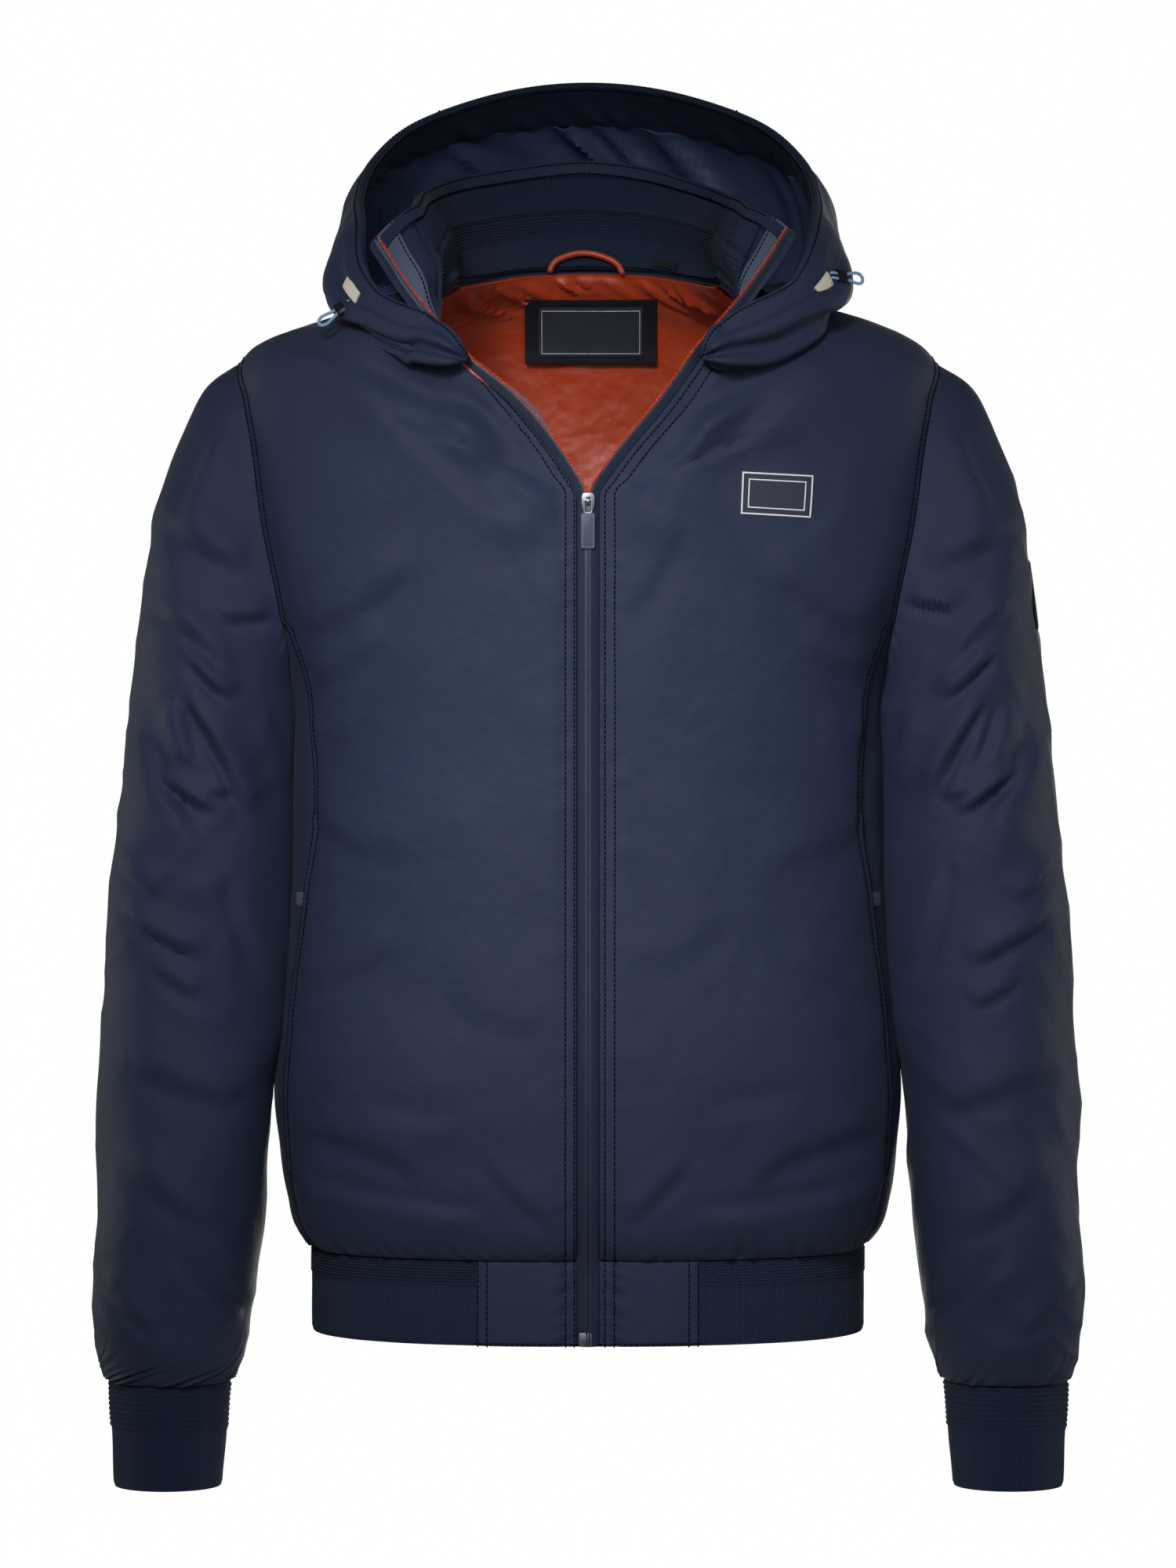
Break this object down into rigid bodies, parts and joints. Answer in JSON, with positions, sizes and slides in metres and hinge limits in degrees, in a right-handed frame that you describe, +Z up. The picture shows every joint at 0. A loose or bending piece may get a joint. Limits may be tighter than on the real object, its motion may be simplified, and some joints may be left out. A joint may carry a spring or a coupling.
{
  "type": "hooded jacket",
  "caption": "Hooded padded blouson in its worn, hollow form, with a front zip open at the neck, rib knit cuffs, hem and inner collar.",
  "frame": {"origin": "middle of the neck opening at the level of the shoulders that carry the jacket", "axes": "+Z up along the zip, front faces -Y, +X towards the wearer's left"},
  "size_m": [0.6212, 0.3306, 0.9109],
  "materials": {
    "shell_cloth": "matte woven shell, navy",
    "knit_hem": "matte rib knit, dark navy",
    "knit_cuff": "matte rib knit, dark navy",
    "knit_collar": "matte rib knit, dark navy",
    "facing_cloth": "satin tape, grey navy",
    "zip_tape": "laminated zip tape, grey navy",
    "zip_slider": "black lacquered metal",
    "pull_tab": "satin rubber, navy",
    "hood_lining": "satin lining, dark navy",
    "lining_orange": "satin lining, orange",
    "neck_label": "woven label, black",
    "label_badge": "woven badge, dark grey",
    "chest_badge": "woven patch, dark navy with pale frames",
    "side_tab": "glossy black",
    "cord_patch": "matte patch, cream",
    "cord": "braided cord, light blue",
    "cord_stopper": "matte plastic, black"
  },
  "bodies": {
    "jacket": {"back": "shell_cloth", "front_left": "shell_cloth", "front_right": "shell_cloth", "side_left": "shell_cloth", "side_right": "shell_cloth", "sleeve_left": "shell_cloth", "sleeve_right": "shell_cloth", "collar_outer": "shell_cloth", "collar_rib": "knit_collar", "collar_facing_left": "facing_cloth", "collar_facing_right": "facing_cloth", "front_facing_left": "facing_cloth", "front_facing_right": "facing_cloth", "cuff_left": "knit_cuff", "cuff_right": "knit_cuff", "hem_rib": "knit_hem", "hem_tab_left": "shell_cloth", "hem_tab_right": "shell_cloth", "hood_left": "shell_cloth", "hood_centre": "shell_cloth", "hood_right": "shell_cloth", "hood_facing": "shell_cloth", "hood_lining_left": "hood_lining", "hood_lining_centre": "hood_lining", "hood_lining_right": "hood_lining", "lining_yoke": "lining_orange", "hanger_loop": "lining_orange", "neck_label": "neck_label", "label_badge": "label_badge", "size_tab": "neck_label", "chest_badge": "chest_badge", "sleeve_patch": "chest_badge", "pocket_welt_left": "shell_cloth", "pocket_welt_right": "shell_cloth", "side_tab_left": "side_tab", "side_tab_right": "side_tab", "zip_tape_left": "zip_tape", "zip_tape_right": "zip_tape", "zip_slider": "zip_slider", "zip_box": "zip_slider", "cord_patch_left": "cord_patch", "cord_patch_right": "cord_patch", "cord_stopper_left": "cord_stopper", "cord_stopper_right": "cord_stopper", "drawcord_left": "cord", "drawcord_right": "cord"},
    "pull_tab": {"pull_tab": "pull_tab"}
  },
  "joints": [
    {"name": "pull_tab_swing", "type": "hinge", "parent": "jacket", "child": "pull_tab", "pos_m": [0, -0.12843, -0.1165], "axis": [-1, 0, 0], "range_deg": [0, 150]}
  ]
}
